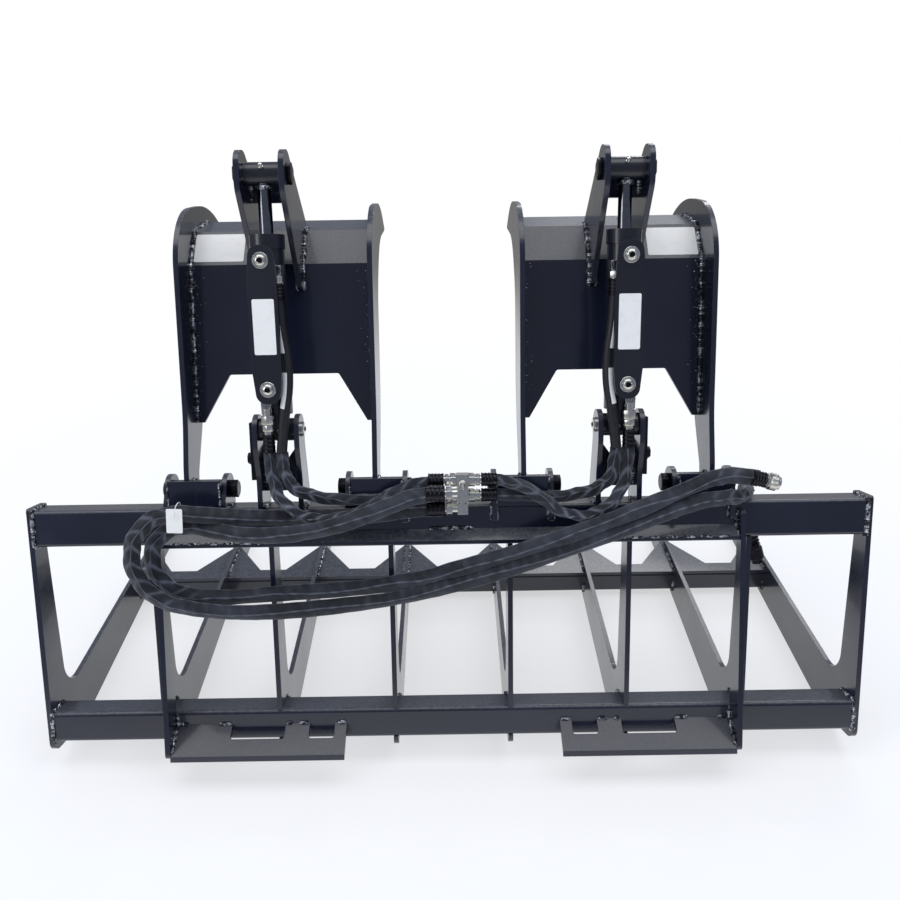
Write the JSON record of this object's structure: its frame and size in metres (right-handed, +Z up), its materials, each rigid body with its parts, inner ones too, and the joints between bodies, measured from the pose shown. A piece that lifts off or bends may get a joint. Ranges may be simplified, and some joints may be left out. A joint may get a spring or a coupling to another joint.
{
  "type": "root grapple",
  "caption": "skid-steer root grapple: tined lower frame with separate hydraulic upper claws hinged on its top beam",
  "frame": {"origin": "bottom centre of the bounding box, on the ground under the tines", "axes": "+X across the grapple to its right as seen from the loader, +Y forward along the tines, +Z up"},
  "size_m": [1.676, 0.86, 1.1691],
  "materials": {
    "frame_paint": "glossy black paint",
    "cylinder_paint": "satin black paint",
    "rod_chrome": "polished chrome",
    "zinc": "bright zinc plating",
    "dark_steel": "dark oiled steel",
    "hose_sleeve": "woven nylon"
  },
  "bodies": {
    "frame": {"top_beam": "frame_paint", "bottom_beam": "frame_paint", "tine_1": "frame_paint", "tine_2": "frame_paint", "tine_3": "frame_paint", "tine_4": "frame_paint", "tine_5": "frame_paint", "tine_6": "frame_paint", "tine_7": "frame_paint", "tine_8": "frame_paint", "front_cross_tube": "frame_paint", "tooth_plates": "frame_paint", "loader_side_plates": "frame_paint", "loader_lips": "frame_paint", "loader_hook_flange": "frame_paint", "hinge_ears": "frame_paint", "hinge_covers": "frame_paint", "hinge_pins": "dark_steel", "cylinder_brackets": "frame_paint", "bracket_webs": "frame_paint", "base_pins": "dark_steel", "left_hose_a": "hose_sleeve", "left_hose_b": "hose_sleeve", "right_hose_a": "hose_sleeve", "right_hose_b": "hose_sleeve", "supply_hose_a": "hose_sleeve", "supply_hose_b": "hose_sleeve", "tee_fittings": "zinc", "coupler_a": "zinc", "coupler_b": "dark_steel"},
    "left_claw": {"left_claw_outer_side": "frame_paint", "left_claw_inner_side": "frame_paint", "left_claw_cross_plate": "frame_paint", "left_claw_horns": "frame_paint", "left_rod_pin_ends": "dark_steel", "left_claw_bushes": "frame_paint"},
    "left_barrel": {"left_barrel": "cylinder_paint", "left_gland": "cylinder_paint", "left_guard": "cylinder_paint", "left_guard_bolts": "zinc", "left_guard_posts": "cylinder_paint", "left_port_fittings": "zinc", "left_barrel_hose": "hose_sleeve"},
    "left_rod": {"left_rod": "rod_chrome"},
    "right_claw": {"right_claw_outer_side": "frame_paint", "right_claw_inner_side": "frame_paint", "right_claw_cross_plate": "frame_paint", "right_claw_horns": "frame_paint", "right_rod_pin_ends": "dark_steel", "right_claw_bushes": "frame_paint"},
    "right_barrel": {"right_barrel": "cylinder_paint", "right_gland": "cylinder_paint", "right_guard": "cylinder_paint", "right_guard_bolts": "zinc", "right_guard_posts": "cylinder_paint", "right_port_fittings": "zinc", "right_barrel_hose": "hose_sleeve"},
    "right_rod": {"right_rod": "rod_chrome"}
  },
  "joints": [
    {"name": "left_claw_hinge", "type": "hinge", "parent": "frame", "child": "left_claw", "pos_m": [-0.331, -0.16077, 0.55166], "axis": [-1, 0, 0], "range_deg": [0, 80]},
    {"name": "left_cylinder_swing", "type": "hinge", "parent": "frame", "child": "left_barrel", "pos_m": [-0.331, -0.14592, 0.67642], "axis": [-1, 0, 0], "range_deg": [0, 89.59]},
    {"name": "left_rod_slide", "type": "slide", "parent": "left_barrel", "child": "left_rod", "axis": [0, 0.312, 0.9501], "range_m": [0, 0.13482]},
    {"name": "right_claw_hinge", "type": "hinge", "parent": "frame", "child": "right_claw", "pos_m": [0.331, -0.16077, 0.55166], "axis": [-1, 0, 0], "range_deg": [0, 80]},
    {"name": "right_cylinder_swing", "type": "hinge", "parent": "frame", "child": "right_barrel", "pos_m": [0.331, -0.14592, 0.67642], "axis": [-1, 0, 0], "range_deg": [0, 89.59]},
    {"name": "right_rod_slide", "type": "slide", "parent": "right_barrel", "child": "right_rod", "axis": [0, 0.312, 0.9501], "range_m": [0, 0.13482]}
  ],
  "couplings": [
    {"joint": "left_cylinder_swing", "follows": "left_claw_hinge", "ratio": 1.1193},
    {"joint": "left_rod_slide", "follows": "left_claw_hinge", "m_per_rad": 0.096417},
    {"joint": "right_cylinder_swing", "follows": "right_claw_hinge", "ratio": 1.1193},
    {"joint": "right_rod_slide", "follows": "right_claw_hinge", "m_per_rad": 0.096417}
  ]
}
